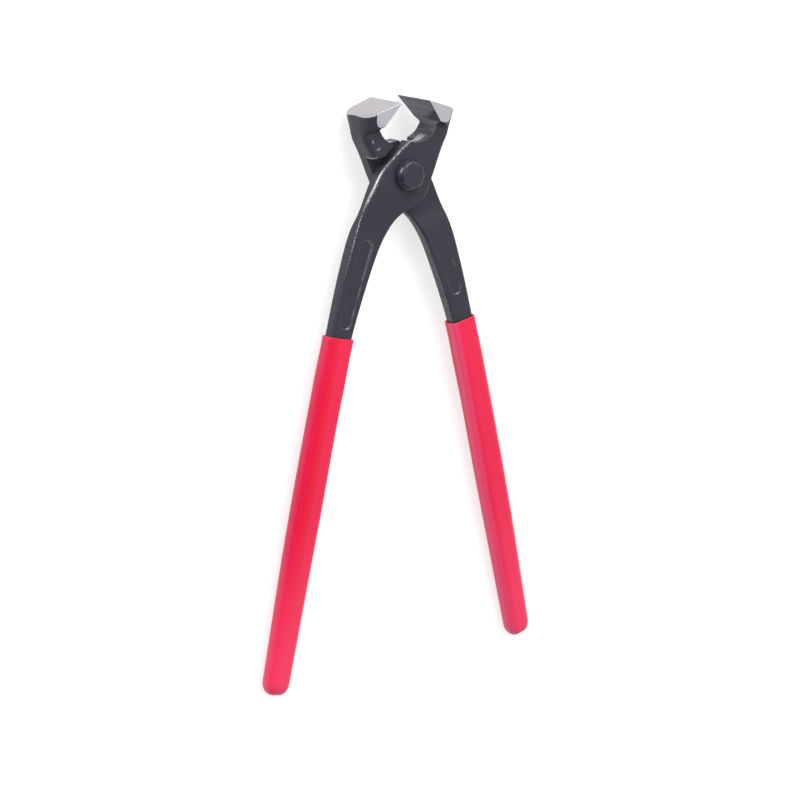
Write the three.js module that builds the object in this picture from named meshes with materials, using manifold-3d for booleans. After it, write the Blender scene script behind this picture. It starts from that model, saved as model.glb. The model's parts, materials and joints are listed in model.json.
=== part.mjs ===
// Concreters nippers: two like forged levers that cross in a lap joint on one rivet, with coated handles.
// Millimetres. The tool lies on its side: X across it, +Y along it to the jaws, +Z up along the rivet.
import * as THREE from 'three';
import { mergeVertices } from 'three/addons/utils/BufferGeometryUtils.js';
import Module from 'manifold-3d';

const wasm = await Module();
wasm.setup();

// Whole tool
const PIVOT_TO_EDGE = 30.8;         // rivet axis to the cutting edges
const PIVOT_TO_HANDLE_END = 219.5;  // rivet axis to the end of a coated handle
const HALF_OPENING = 13.1;          // degrees that each lever is turned from its drawing, as it rests

// Jaw
const EDGE_LENGTH = 22.5;           // the cutting edge, across the jaw
const EDGE_LEAD = 0.4;              // cutting edge past the tool axis: the edges meet just before the drawing
const JAW_BACK = 16;                // tool axis to the back of the jaw at its top
const JAW_BACK_ROUND = 8.8;         // corner radius of the jaw's back there
const JAW_FLARE = 0.6;              // forging left outside the ground cheeks there
const WAIST_DROP = 10.8;            // cutting edge down to the jaw's waist beside the hollow
const JAW_WAIST = 16.9;             // tool axis to the back of the jaw there
const JAW_WAIST_ROUND = 3;          // corner radius of the jaw's back there
const JAW_WAIST_WIDTH = 12;         // width of the jaw there
const JAW_NECK = 15.1;              // tool axis to the back of the jaw at the mouth floor
const JAW_NECK_ROUND = 2.6;         // corner radius of the jaw's back there
const JAW_NECK_WIDTH = 12.2;        // width of the jaw there
const TOP_FALL = 4;                 // degrees that the ground top slopes down to the back
const CHEEK_FALL = 11;              // degrees that the ground cheeks draw in downwards
const CHEEK_RUN = 5;                // degrees that the ground cheeks draw in to the back
const CHEEK_DROP = 7.2;             // cutting edge down to the foot of the ground cheeks
const CHEEK_FOOT_WIDTH = 18.6;      // width of the forging there
const CHEEK_FOOT_ROUND = 6.5;       // corner radius of the jaw's back there
const CHEEK_LIP = 1.6;              // height of the lip under the cheeks, where the jaw draws in to its waist
const BEVEL_ANGLE = 38.5;           // degrees of the cutting bevel below the top
const HOLLOW_REACH = 9.2;           // tool axis to the deepest line of the hollow
const HOLLOW_DROP = 8.8;            // cutting edge down to that line
const HOLLOW_LEAD = 1;              // how far past the tool axis the hollow's round bottom starts
const HOLLOW_BLEND = 1.4;           // round between the bevel and the hollow
const MOUTH_FLOOR = 13.2;           // rivet axis to the floor of the mouth

// Hub and lap joint
const HUB_THICKNESS = 6;            // one lever's half of the lap
const HUB_FLAT = 7;                 // rivet axis to where the hub starts to thin into the shank
const HUB_BACK = 12.3;              // rivet axis to the hub's edge on the handle's side
const HUB_FRONT = 12;               // rivet axis to the hub's edge on the jaw's side
const HUB_HEEL = 14.6;              // tool axis to the outer edge at the lower end of the flat
const HUB_SHOULDER = 8;             // tool axis to the outer edge halfway up to the mouth floor
const HUB_TOP = 2.2;                // tool axis to the hub's upper corner at the mouth floor
const HUB_LOBE = 13.8;              // radius of the round lobe above the crotch
const HUB_LOBE_SIDE = 13;           // rivet axis to the lobe where it meets the jaw's side
const LOBE_START = 67;              // degrees below level where the lobe leaves the crotch
const LOBE_END = 42;                // degrees below level where it meets the jaw's side
const HUB_EDGE_ROUND = 2.6;         // round on the hub's long outer edge
const HUB_TOP_ROUND = 0.8;          // the same at the mouth floor
const HUB_LOBE_ROUND = 0.8;         // round on the lobe's edge
const LAP_CLEARANCE = 0.6;          // the lobe to the wall of the pocket that the other lever has for it
const SHOULDER = 11.1;              // rivet axis to the straight shoulder beside the pocket
const LAP_GAP = 0.3;                // between the two lap faces
const LAP_ROUND = 0.3;              // round on the lap face's outer edge
const CROTCH = 17.8;                // rivet axis to the crotch

// Shank, and the tang inside the coat
const SHANK_BEND = 26.5;            // rivet axis to the shank's bend
const BEND_BACK = 18.1;             // tool axis to the outer edge there
const BEND_FRONT = 3.7;             // tool axis to the inner edge there
const BEND_FRONT_FACE = 3.6;        // lap plane to the front face there
const BEND_REAR_FACE = 2.2;         // lap plane to the rear face there
const SHANK_MIDDLE = 43.5;          // rivet axis to the middle of the shank
const MIDDLE_BACK = 19.7;
const MIDDLE_FRONT = 7;
const SHANK_END = 75;               // rivet axis to where the handle runs straight
const HANDLE_OFFSET = 15.5;         // tool axis to a handle's centre line
const HANDLE_END_OFFSET = 14.5;     // the same at the handle's end
const TANG_WIDTH = 10;
const TANG_END_WIDTH = 8;
const TANG_THICKNESS = 6;
const TANG_CORNER = 1.5;
const TAPER_LENGTH = 68;            // last stretch, where the handle narrows

// Handle coat
const COAT_LENGTH = 150;
const COAT_WALL = 0.85;
const COAT_GAP = 0.25;              // between the coat and the tang
const COAT_END_WALL = 2.6;          // closed end of the coat
const COAT_END_ROUND = 3.2;
const COAT_RIM_ROUND = 0.4;

// Rivet
const RIVET_RADIUS = 4.2;
const RIVET_GAP = 0.3;              // round the rivet and under its heads
const RIVET_HEAD_RADIUS = 6.3;
const RIVET_FLAT_RADIUS = 4.9;      // flat top of a head
const RIVET_HEAD_HEIGHT = 3.2;
const RIVET_HEAD_RIM = 1.7;         // straight side of a head, below its rounding

// Bare sunk panels on the two faces of the shank
const PANEL_DEPTH = 0.35;
const PANEL_WIDTH = 5.6;
const FRONT_PANEL_START = 31;       // rivet axis to the panel's upper end
const FRONT_PANEL_LENGTH = 35;
const REAR_PANEL_START = 37;
const REAR_PANEL_LENGTH = 21;

// Steps of the surfaces
const SHANK_STEP = 6;
const HUB_STEP = 1.9;
const CORNER_STEPS = 4;
const END_STEPS = 4;
const ROUND_STEPS = 48;
const LARGEST_ROUND = 0.48;         // share of a section's smaller side that a corner round may take
const CUT_MARGIN = 5;               // how far a cut runs past the metal
const WELD = 1e-4;                  // points closer than this are one

const STEEL_COLOUR = 0x3a393f;
const RIVET_COLOUR = 0x36353a;
const COAT_COLOUR = 0xe0203f;

const radians = THREE.MathUtils.degToRad;
const lerp = THREE.MathUtils.lerp;

// A smooth curve through [position, value] pairs, held level outside them
function curve(pairs) {
  const positions = pairs.map((pair) => pair[0]);
  const values = pairs.map((pair) => pair[1]);
  const cubic = new THREE.CubicInterpolant(positions, values, 1);
  return (position) => cubic.evaluate(position)[0];
}

// Positions from one place to another, no further apart than the step
function spread(from, to, step) {
  const count = Math.ceil(Math.abs(to - from) / step);
  return Array.from({ length: count + 1 }, (_, i) => lerp(from, to, i / count));
}

// Plan of one lever, drawn as good as closed: jaw to the right of the tool axis, handle to the left.
// The outer edge runs up the back of the handle, shank and hub to the hub's corner at the mouth.
const tangEnd = -(PIVOT_TO_HANDLE_END - COAT_END_WALL);
const taperStart = -(PIVOT_TO_HANDLE_END - TAPER_LENGTH);
const outerEdge = curve([
  [tangEnd, -(HANDLE_END_OFFSET + TANG_END_WIDTH / 2)],
  [taperStart, -(HANDLE_OFFSET + TANG_WIDTH / 2)],
  [-SHANK_END, -(HANDLE_OFFSET + TANG_WIDTH / 2)],
  [-SHANK_MIDDLE, -MIDDLE_BACK],
  [-SHANK_BEND, -BEND_BACK],
  [-HUB_FLAT, -HUB_HEEL],
  [0, -HUB_BACK],
  [MOUTH_FLOOR / 2, -HUB_SHOULDER],
  [MOUTH_FLOOR, -HUB_TOP],
]);

// The inner edge runs up the inside of the handle, round the crotch and the lobe, and up the jaw's back.
const hollowLevel = PIVOT_TO_EDGE - HOLLOW_DROP;
const waistLevel = PIVOT_TO_EDGE - WAIST_DROP;
const cheekFoot = PIVOT_TO_EDGE - CHEEK_DROP;
const lipFoot = cheekFoot - CHEEK_LIP;
const lobeTurns = [0, 0.5, 1];
const innerEdge = curve([
  [tangEnd, -(HANDLE_END_OFFSET - TANG_END_WIDTH / 2)],
  [taperStart, -(HANDLE_OFFSET - TANG_WIDTH / 2)],
  [-SHANK_END, -(HANDLE_OFFSET - TANG_WIDTH / 2)],
  [-SHANK_MIDDLE, -MIDDLE_FRONT],
  [-SHANK_BEND, -BEND_FRONT],
  [-CROTCH, 0],
  ...lobeTurns.map((turn) => {
    const angle = radians(lerp(LOBE_START, LOBE_END, turn));
    const radius = lerp(HUB_LOBE, HUB_LOBE_SIDE, turn);
    return [-radius * Math.sin(angle), radius * Math.cos(angle)];
  }),
  [0, HUB_FRONT],
  [MOUTH_FLOOR, JAW_NECK],
  [waistLevel, JAW_WAIST],
  [PIVOT_TO_EDGE, JAW_BACK],
]);

// How far the front and rear faces stand from the lap plane. The hub is flat and thins into the shank.
// The rear face leaves the lap plane below the crotch. The jaw widens evenly to both sides.
const jawWidening = curve([
  [HUB_FLAT, HUB_THICKNESS],
  [MOUTH_FLOOR, JAW_NECK_WIDTH / 2],
  [waistLevel, JAW_WAIST_WIDTH / 2],
  [lipFoot, JAW_WAIST_WIDTH / 2],
  [cheekFoot, CHEEK_FOOT_WIDTH / 2],
  [PIVOT_TO_EDGE, EDGE_LENGTH / 2 + JAW_FLARE],
]);
const shankFront = curve([
  [-SHANK_MIDDLE, TANG_THICKNESS / 2],
  [-SHANK_BEND, BEND_FRONT_FACE],
  [-HUB_FLAT, HUB_THICKNESS],
]);
const shankRear = curve([
  [-SHANK_MIDDLE, TANG_THICKNESS / 2],
  [-SHANK_BEND, BEND_REAR_FACE],
  [-CROTCH, -LAP_GAP / 3],
  [-HUB_FLAT, -LAP_GAP / 3],
]);
const frontFace = (along) => (along > 0 ? jawWidening(along) : shankFront(along));
const rearFace = (along) => (along > 0 ? jawWidening(along) : shankRear(along));

// Rounds on the outer edge's front and lap side, and on the inner edge
const outerRound = curve([
  [-SHANK_MIDDLE, TANG_CORNER],
  [-HUB_FLAT, HUB_EDGE_ROUND],
  [MOUTH_FLOOR, HUB_TOP_ROUND],
]);
const lapRound = curve([
  [-SHANK_MIDDLE, TANG_CORNER],
  [-CROTCH, LAP_ROUND],
]);
const innerRound = curve([
  [-SHANK_BEND, TANG_CORNER],
  [-CROTCH, HUB_LOBE_ROUND],
  [0, HUB_LOBE_ROUND],
  [MOUTH_FLOOR, JAW_NECK_ROUND],
  [waistLevel, JAW_WAIST_ROUND],
  [lipFoot, JAW_WAIST_ROUND],
  [cheekFoot, CHEEK_FOOT_ROUND],
  [PIVOT_TO_EDGE, JAW_BACK_ROUND],
]);

// Rounded rectangle across the lever at one place along it, grown by an offset
function section(along, offset) {
  const place = Math.max(along, tangEnd);
  const left = outerEdge(place) - offset;
  const right = innerEdge(place) + offset;
  const front = frontFace(place) + offset;
  const rear = -rearFace(place) - offset;
  const limit = LARGEST_ROUND * Math.min(front - rear, right - left);
  const outer = Math.min(outerRound(place) + offset, limit);
  const lap = Math.min(lapRound(place) + offset, limit);
  const inner = Math.min(innerRound(place) + offset, limit);
  const corners = [
    { x: right - inner, z: front - inner, radius: inner },
    { x: left + outer, z: front - outer, radius: outer },
    { x: left + lap, z: rear + lap, radius: lap },
    { x: right - inner, z: rear + inner, radius: inner },
  ];
  return corners.flatMap(({ x, z, radius }, corner) => {
    const turns = spread(corner, corner + 1, 1 / CORNER_STEPS);
    return turns.map((turn) => new THREE.Vector3(
      x + radius * Math.cos(turn * Math.PI / 2),
      along,
      z + radius * Math.sin(turn * Math.PI / 2),
    ));
  });
}

// Closed skin over sections in order along +Y
function loft(rings) {
  const points = rings.flat();
  const size = rings[0].length;
  const index = [];
  for (let ring = 0; ring + 1 < rings.length; ring += 1) {
    for (let i = 0; i < size; i += 1) {
      const a = ring * size + i;
      const b = ring * size + (i + 1) % size;
      index.push(a, a + size, b + size, a, b + size, b);
    }
  }
  const last = points.length - size;
  for (let i = 1; i + 1 < size; i += 1) {
    index.push(0, i, i + 1, last, last + i + 1, last + i);
  }
  return new THREE.BufferGeometry().setFromPoints(points).setIndex(index);
}

// A solid that can be joined and cut
function solid(geometry) {
  const bare = geometry.clone();
  bare.deleteAttribute('normal');
  bare.deleteAttribute('uv');
  const merged = mergeVertices(bare, WELD);
  return new wasm.Manifold(new wasm.Mesh({
    numProp: 3,
    vertProperties: new Float32Array(merged.attributes.position.array),
    triVerts: new Uint32Array(merged.index.array),
  }));
}

// The skin of a solid
function skin(body) {
  const mesh = body.getMesh();
  const geometry = new THREE.BufferGeometry();
  geometry.setAttribute('position', new THREE.BufferAttribute(mesh.vertProperties, 3));
  geometry.setIndex(new THREE.BufferAttribute(mesh.triVerts, 1));
  return geometry;
}

// A plan outline carried along Z from one level to another
function prism(shape, low, high) {
  const geometry = new THREE.ExtrudeGeometry(shape, {
    depth: high - low,
    bevelEnabled: false,
    curveSegments: ROUND_STEPS / 4,
  });
  return solid(geometry.translate(0, 0, low));
}

// What a grinding wheel takes off outside a plane that faces almost along Z or is turned up from it,
// as far as a reach to each side of a point
function ground(point, side, normal, reach) {
  const wide = 2 * PIVOT_TO_EDGE;
  const facing = new THREE.Vector3(0, 0, side);
  const geometry = new THREE.BoxGeometry(wide, 2 * reach, wide).translate(0, 0, side * wide / 2);
  const turn = new THREE.Quaternion().setFromUnitVectors(facing, normal.normalize());
  return solid(geometry.applyQuaternion(turn).translate(point.x, point.y, point.z));
}

// Mouth: the straight bevel below the cutting edge, then a round hollow down to the floor above the hub
function mouth() {
  const bevel = (x) => PIVOT_TO_EDGE - (x + EDGE_LEAD) * Math.tan(radians(BEVEL_ANGLE));
  const blend = HOLLOW_REACH - HOLLOW_BLEND;
  const left = -(HUB_BACK + CUT_MARGIN);
  const top = PIVOT_TO_EDGE + CUT_MARGIN;
  const outline = new THREE.Shape();
  outline.moveTo(-EDGE_LEAD, top);
  outline.lineTo(left, top);
  outline.lineTo(left, MOUTH_FLOOR);
  outline.lineTo(-HOLLOW_LEAD, MOUTH_FLOOR);
  const wide = HOLLOW_REACH + HOLLOW_LEAD;
  const deep = hollowLevel - MOUTH_FLOOR;
  outline.absellipse(-HOLLOW_LEAD, hollowLevel, wide, deep, -Math.PI / 2, 0, false, 0);
  outline.quadraticCurveTo(HOLLOW_REACH, bevel(HOLLOW_REACH), blend, bevel(blend));
  outline.lineTo(-EDGE_LEAD, PIVOT_TO_EDGE);
  return prism(outline, -EDGE_LENGTH, EDGE_LENGTH);
}

// Lap pocket: room behind the hub for the other lever to turn in, square under the jaw's shoulder
function lapPocket() {
  const radius = HUB_LOBE + LAP_CLEARANCE;
  const beyond = JAW_WAIST + CUT_MARGIN;
  const circle = new THREE.Shape().absarc(0, 0, radius, 0, 2 * Math.PI, false);
  const square = new THREE.Shape();
  square.moveTo(0, 0);
  square.lineTo(beyond, 0);
  square.lineTo(beyond, SHOULDER);
  square.lineTo(0, SHOULDER);
  return prism(circle, -EDGE_LENGTH, LAP_GAP / 2).add(prism(square, -EDGE_LENGTH, LAP_GAP / 2));
}

// Sunk panel with round ends that follows the middle of the shank
function panel(start, length, face) {
  const middle = (along) => (outerEdge(along) + innerEdge(along)) / 2;
  const radius = PANEL_WIDTH / 2;
  const high = -(start + radius);
  const low = -(start + length - radius);
  const lean = Math.atan2(middle(high) - middle(low), high - low);
  const outline = new THREE.Shape();
  outline.absarc(middle(high), high, radius, -lean, Math.PI - lean, false);
  outline.absarc(middle(low), low, radius, Math.PI - lean, 2 * Math.PI - lean, false);
  const floor = TANG_THICKNESS / 2 - PANEL_DEPTH;
  const outside = HUB_THICKNESS + CUT_MARGIN;
  return face > 0 ? prism(outline, floor, outside) : prism(outline, -outside, -floor);
}

// One lever as drawn: the forging, then its cuts and ground faces
function lever() {
  const places = [
    tangEnd,
    taperStart,
    ...spread(-SHANK_END, -SHANK_BEND, SHANK_STEP),
    ...spread(-SHANK_BEND, PIVOT_TO_EDGE, HUB_STEP).slice(1),
    PIVOT_TO_EDGE + CUT_MARGIN,
  ];
  const forging = solid(loft(places.map((along) => section(along, 0))));
  const edgeMiddle = new THREE.Vector3(-EDGE_LEAD, PIVOT_TO_EDGE, 0);
  const bore = new THREE.CylinderGeometry(
    RIVET_RADIUS + RIVET_GAP, RIVET_RADIUS + RIVET_GAP, 4 * HUB_THICKNESS, ROUND_STEPS);
  const cheeks = [1, -1].map((side) => ground(
    edgeMiddle.clone().setZ(side * EDGE_LENGTH / 2),
    side,
    new THREE.Vector3(Math.tan(radians(CHEEK_RUN)), -Math.tan(radians(CHEEK_FALL)), side),
    HOLLOW_DROP,
  ));
  const cuts = [
    mouth(),
    lapPocket(),
    solid(bore.rotateX(Math.PI / 2)),
    ground(edgeMiddle, 1, new THREE.Vector3(Math.tan(radians(TOP_FALL)), 1, 0), EDGE_LENGTH),
    ...cheeks,
    panel(FRONT_PANEL_START, FRONT_PANEL_LENGTH, 1),
    panel(REAR_PANEL_START, REAR_PANEL_LENGTH, -1),
  ];
  return skin(cuts.reduce((body, cut) => body.subtract(cut), forging));
}

// Dipped coat: a sleeve over the tang with a rounded closed end and a soft rim
function coat() {
  const cover = COAT_GAP + COAT_WALL;
  const rim = -(PIVOT_TO_HANDLE_END - COAT_LENGTH);
  const between = [taperStart, -SHANK_END].filter((along) => along < rim - COAT_RIM_ROUND);
  const rounding = Array.from({ length: END_STEPS + 1 }, (_, i) => {
    const angle = (i / END_STEPS) * Math.PI / 2;
    return {
      along: -PIVOT_TO_HANDLE_END + COAT_END_ROUND * (1 - Math.sin(angle)),
      offset: cover - COAT_END_ROUND * (1 - Math.cos(angle)),
    };
  }).reverse();
  const outside = loft([
    ...rounding.map(({ along, offset }) => section(along, offset)),
    ...between.map((along) => section(along, cover)),
    section(rim - COAT_RIM_ROUND, cover),
    section(rim, cover - COAT_RIM_ROUND),
  ]);
  const inside = loft([
    section(tangEnd - COAT_GAP, COAT_GAP),
    ...between.map((along) => section(along, COAT_GAP)),
    section(rim - COAT_RIM_ROUND, COAT_GAP),
    section(rim + CUT_MARGIN, COAT_GAP),
  ]);
  return skin(solid(outside).subtract(solid(inside)));
}

// Rivet with a low round-edged head on each side of the lap
function rivet() {
  const seat = HUB_THICKNESS + RIVET_GAP;
  const top = seat + RIVET_HEAD_HEIGHT;
  const half = new THREE.Path();
  half.moveTo(RIVET_RADIUS, 0);
  half.lineTo(RIVET_RADIUS, seat);
  half.lineTo(RIVET_HEAD_RADIUS, seat);
  half.lineTo(RIVET_HEAD_RADIUS, seat + RIVET_HEAD_RIM);
  half.quadraticCurveTo(RIVET_HEAD_RADIUS, top, RIVET_FLAT_RADIUS, top);
  half.lineTo(0, top);
  const upper = half.getPoints(END_STEPS).slice(1);
  const lower = upper.map((point) => new THREE.Vector2(point.x, -point.y)).reverse();
  return new THREE.LatheGeometry([...lower, ...upper], ROUND_STEPS).rotateX(Math.PI / 2);
}

function piece(name, geometry, material) {
  const mesh = new THREE.Mesh(geometry, new THREE.MeshStandardMaterial(material));
  mesh.name = name;
  return mesh;
}

const steel = { color: STEEL_COLOUR, roughness: 0.45, metalness: 0.7 };
const red = { color: COAT_COLOUR, roughness: 0.3, metalness: 0 };

const leverSkin = lever();
const coatSkin = coat();

// A lever with its coat, turned open about the rivet
function handedLever(side, half) {
  const opened = new THREE.Group();
  opened.rotation.z = -half * radians(HALF_OPENING);
  const turned = new THREE.Group();
  turned.rotation.y = half > 0 ? 0 : Math.PI;
  turned.add(piece(`${side}_lever`, leverSkin, steel));
  turned.add(piece(`${side}_handle_coat`, coatSkin, red));
  opened.add(turned);
  return opened;
}

const nippers = new THREE.Group();
nippers.add(handedLever('front', 1));
nippers.add(handedLever('rear', -1));
nippers.add(piece('pivot_rivet', rivet(), { color: RIVET_COLOUR, roughness: 0.4, metalness: 0.7 }));

// The tool lies on the sides of its jaws, with its middle over the origin
const bounds = new THREE.Box3().setFromObject(nippers, true);
const middle = bounds.getCenter(new THREE.Vector3());
nippers.position.set(-middle.x, -middle.y, -bounds.min.z);

const tool = new THREE.Group();
tool.add(nippers);

export default tool;
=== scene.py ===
"""Looks of a pair of concreters nippers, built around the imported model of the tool.

The tool lies on its side: X across it, +Y along it to the jaws, +Z up along the rivet. Lengths are metres.
"""
import json

import bmesh
import bpy
import numpy as np
from bpy.props import FloatProperty, FloatVectorProperty, PointerProperty
from mathutils import Matrix, Vector


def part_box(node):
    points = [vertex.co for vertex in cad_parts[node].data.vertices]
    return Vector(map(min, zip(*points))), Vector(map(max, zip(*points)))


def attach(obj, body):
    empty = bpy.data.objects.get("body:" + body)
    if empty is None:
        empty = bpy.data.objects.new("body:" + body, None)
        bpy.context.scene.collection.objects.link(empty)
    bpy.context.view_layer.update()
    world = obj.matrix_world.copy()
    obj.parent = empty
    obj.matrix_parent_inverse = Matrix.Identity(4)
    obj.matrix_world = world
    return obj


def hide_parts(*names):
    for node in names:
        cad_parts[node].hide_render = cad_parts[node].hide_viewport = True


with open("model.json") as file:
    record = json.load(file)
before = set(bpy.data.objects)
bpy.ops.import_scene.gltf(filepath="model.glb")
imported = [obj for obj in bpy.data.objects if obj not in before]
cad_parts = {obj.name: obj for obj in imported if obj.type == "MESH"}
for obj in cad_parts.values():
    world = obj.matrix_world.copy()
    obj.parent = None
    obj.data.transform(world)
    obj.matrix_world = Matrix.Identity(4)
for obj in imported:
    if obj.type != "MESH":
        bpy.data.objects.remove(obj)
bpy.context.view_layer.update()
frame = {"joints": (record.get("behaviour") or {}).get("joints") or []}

bl_info = {
    "name": "Concreters Nippers",
    "version": (1, 0, 0),
    "blender": (4, 5, 0),
    "location": "View3D > Sidebar > Nippers",
    "description": "Builds the levers, rivet and dipped handle coats of a pair of concreters nippers",
    "category": "Add Mesh",
}

MM = 0.001
PIVOT = np.array(frame["joints"][0]["pos_m"])
FRONT_BODY = "front_half"
REAR_BODY = "rear_half"
HALVES = (("front", 1, FRONT_BODY), ("rear", -1, REAR_BODY))
IMAGE_PIXELS = 800

# Signs of a rectangle's four corners, in order round it.
SIDES = np.array([(-1, -1), (1, -1), (1, 1), (-1, 1)])

# How far the cutters reach past the forging, and how close two points are that become one.
CUT_MARGIN = 5 * MM
SAME_POINT = 0.001 * MM

# How close a face lies to a cut's surface to count as left by that cut.
ON_TOP = 0.1 * MM
ON_MOUTH = 0.03 * MM
ON_FLAT = 0.02 * MM
ON_PANEL_WALL = 0.9 * MM

# Two knocks on the jaw's side as the lever is drawn: middle and half size across, then along.
KNOCKS = ((13.6 * MM, 0.55 * MM, 18.3 * MM, 1.0 * MM), (11.8 * MM, 1.4 * MM, 14.6 * MM, 0.5 * MM))

# The lamps: name, direction from the rivet, distance, size, and the setting that holds the watts.
LAMPS = (
    ("side_light", (-0.80, 0.51, 0.31), 1.2, 0.6, "side_power"),
    ("top_light", (0.10, 0.75, 0.65), 1.2, 0.8, "top_power"),
)


def length(name, description, millimetres):
    """A size in metres whose default is given in millimetres."""
    return FloatProperty(
        name=name, description=description, default=millimetres * MM, unit="LENGTH", precision=5)


def angle(name, description, degrees):
    """A turn in radians whose default is given in degrees."""
    return FloatProperty(name=name, description=description, default=np.radians(degrees), unit="ROTATION")


def share(name, description, default, highest=1.0):
    """A plain number from nothing up to a highest value."""
    return FloatProperty(name=name, description=description, default=default, min=0.0, max=highest)


def colour(name, description, default):
    """A linear colour."""
    return FloatVectorProperty(
        name=name, description=description, default=default, subtype="COLOR", size=3, min=0.0, max=1.0)


class JawSizes(bpy.types.PropertyGroup):
    """Cutting end of one lever."""

    pivot_to_edge: length("Pivot to edge", "Rivet axis to the cutting edge", 30.8)
    edge_length: length("Edge length", "Cutting edge, across the jaw", 22.5)
    edge_lead: length("Edge lead", "Cutting edge past the tool axis as the lever is drawn", 0.4)
    back: length("Back", "Tool axis to the jaw's back at its top", 16.0)
    back_round: length("Back round", "Corner radius of the jaw's back at its top", 8.4)
    flare: length("Flare", "Forging left outside the ground cheeks at the top", 0.6)
    waist_drop: length("Waist drop", "Cutting edge down to the jaw's waist beside the hollow", 10.8)
    waist: length("Waist", "Tool axis to the jaw's back at the waist", 16.9)
    waist_round: length("Waist round", "Corner radius of the jaw's back at the waist", 3.0)
    waist_width: length("Waist width", "Width of the jaw at the waist", 12.0)
    neck: length("Neck", "Tool axis to the jaw's back at the mouth floor", 15.1)
    neck_round: length("Neck round", "Corner radius of the jaw's back at the mouth floor", 2.6)
    neck_width: length("Neck width", "Width of the jaw at the mouth floor", 12.2)
    top_fall: angle("Top fall", "Slope of the ground top down to the back", 4.0)
    corner_turn: angle("Corner turn", "Turn of the top's back corners from the jaw's middle", 35.0)
    corner_start: length("Corner start", "Rivet plane to where the top starts to roll off at them", 13.9)
    corner_run: length("Corner run", "How far it takes to fall by the corner drop", 2.6)
    corner_drop: length("Corner drop", "Fall of the top at its back corners", 0.7)
    cheek_fall: angle("Cheek fall", "How far the ground cheeks draw in downwards", 11.0)
    cheek_run: angle("Cheek run", "How far the ground cheeks draw in to the back", 5.0)
    rear_fall: angle("Rear fall", "The same on the cheek behind the lap", 10.3)
    rear_run: angle("Rear run", "The same on the cheek behind the lap", 3.2)
    cheek_drop: length("Cheek drop", "Cutting edge down to the foot of the ground cheeks", 7.2)
    cheek_foot_width: length("Cheek foot width", "Width of the forging at that foot", 18.6)
    cheek_foot_round: length("Cheek foot round", "Corner radius of the jaw's back at that foot", 7.4)
    cheek_lip: length("Cheek lip", "Height of the lip under the cheeks", 1.6)
    bevel_angle: angle("Bevel angle", "Cutting bevel below the top", 38.5)
    hollow_reach: length("Hollow reach", "Tool axis to the deepest line of the hollow", 9.2)
    hollow_drop: length("Hollow drop", "Cutting edge down to that line", 8.8)
    hollow_lead: length("Hollow lead", "How far past the tool axis the hollow's round bottom starts", 1.0)
    hollow_blend: length("Hollow blend", "Round between the bevel and the hollow", 1.4)
    mouth_floor: length("Mouth floor", "Rivet axis to the floor of the mouth", 13.2)


class HubSizes(bpy.types.PropertyGroup):
    """Lap joint of one lever."""

    thickness: length("Thickness", "One lever's half of the lap", 6.0)
    flat: length("Flat", "Rivet axis to where the hub starts to thin into the shank", 7.0)
    back: length("Back", "Rivet axis to the hub's edge on the handle's side", 12.3)
    front: length("Front", "Rivet axis to the hub's edge on the jaw's side", 12.0)
    heel: length("Heel", "Tool axis to the outer edge at the lower end of the flat", 14.6)
    shoulder: length("Shoulder", "Tool axis to the outer edge halfway up to the mouth floor", 8.0)
    top: length("Top", "Tool axis to the hub's upper corner at the mouth floor", 2.2)
    lobe: length("Lobe", "Radius of the round lobe above the crotch", 13.8)
    lobe_side: length("Lobe side", "Rivet axis to the lobe where it meets the jaw's side", 13.0)
    lobe_start: angle("Lobe start", "Where the lobe leaves the crotch, below level", 67.0)
    lobe_end: angle("Lobe end", "Where the lobe meets the jaw's side, below level", 42.0)
    edge_round: length("Edge round", "Round on the hub's long outer edge", 2.6)
    top_round: length("Top round", "Round on that edge at the mouth floor", 0.8)
    edge_lean: share("Edge lean", "How much wider than tall the round on the long outer edge is", 1.75, 4.0)
    lobe_round: length("Lobe round", "Round on the lobe's edge", 0.8)
    lap_clearance: length("Lap clearance", "The lobe to the wall of the pocket it turns in", 0.6)
    lap_gap: length("Lap gap", "Between the two lap faces", 0.3)
    lap_round: length("Lap round", "Round on the lap face's outer edge", 0.3)
    pocket_shoulder: length("Pocket shoulder", "Rivet axis to the straight shoulder beside the pocket", 11.1)
    hollow_tip: length("Hollow tip", "Rivet axis to the blunt lower end of the hollow behind the lap", 4.8)
    crotch: length("Crotch", "Rivet axis to the crotch", 17.8)
    bore: length("Bore", "Radius of the hole for the rivet", 4.5)


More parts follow.
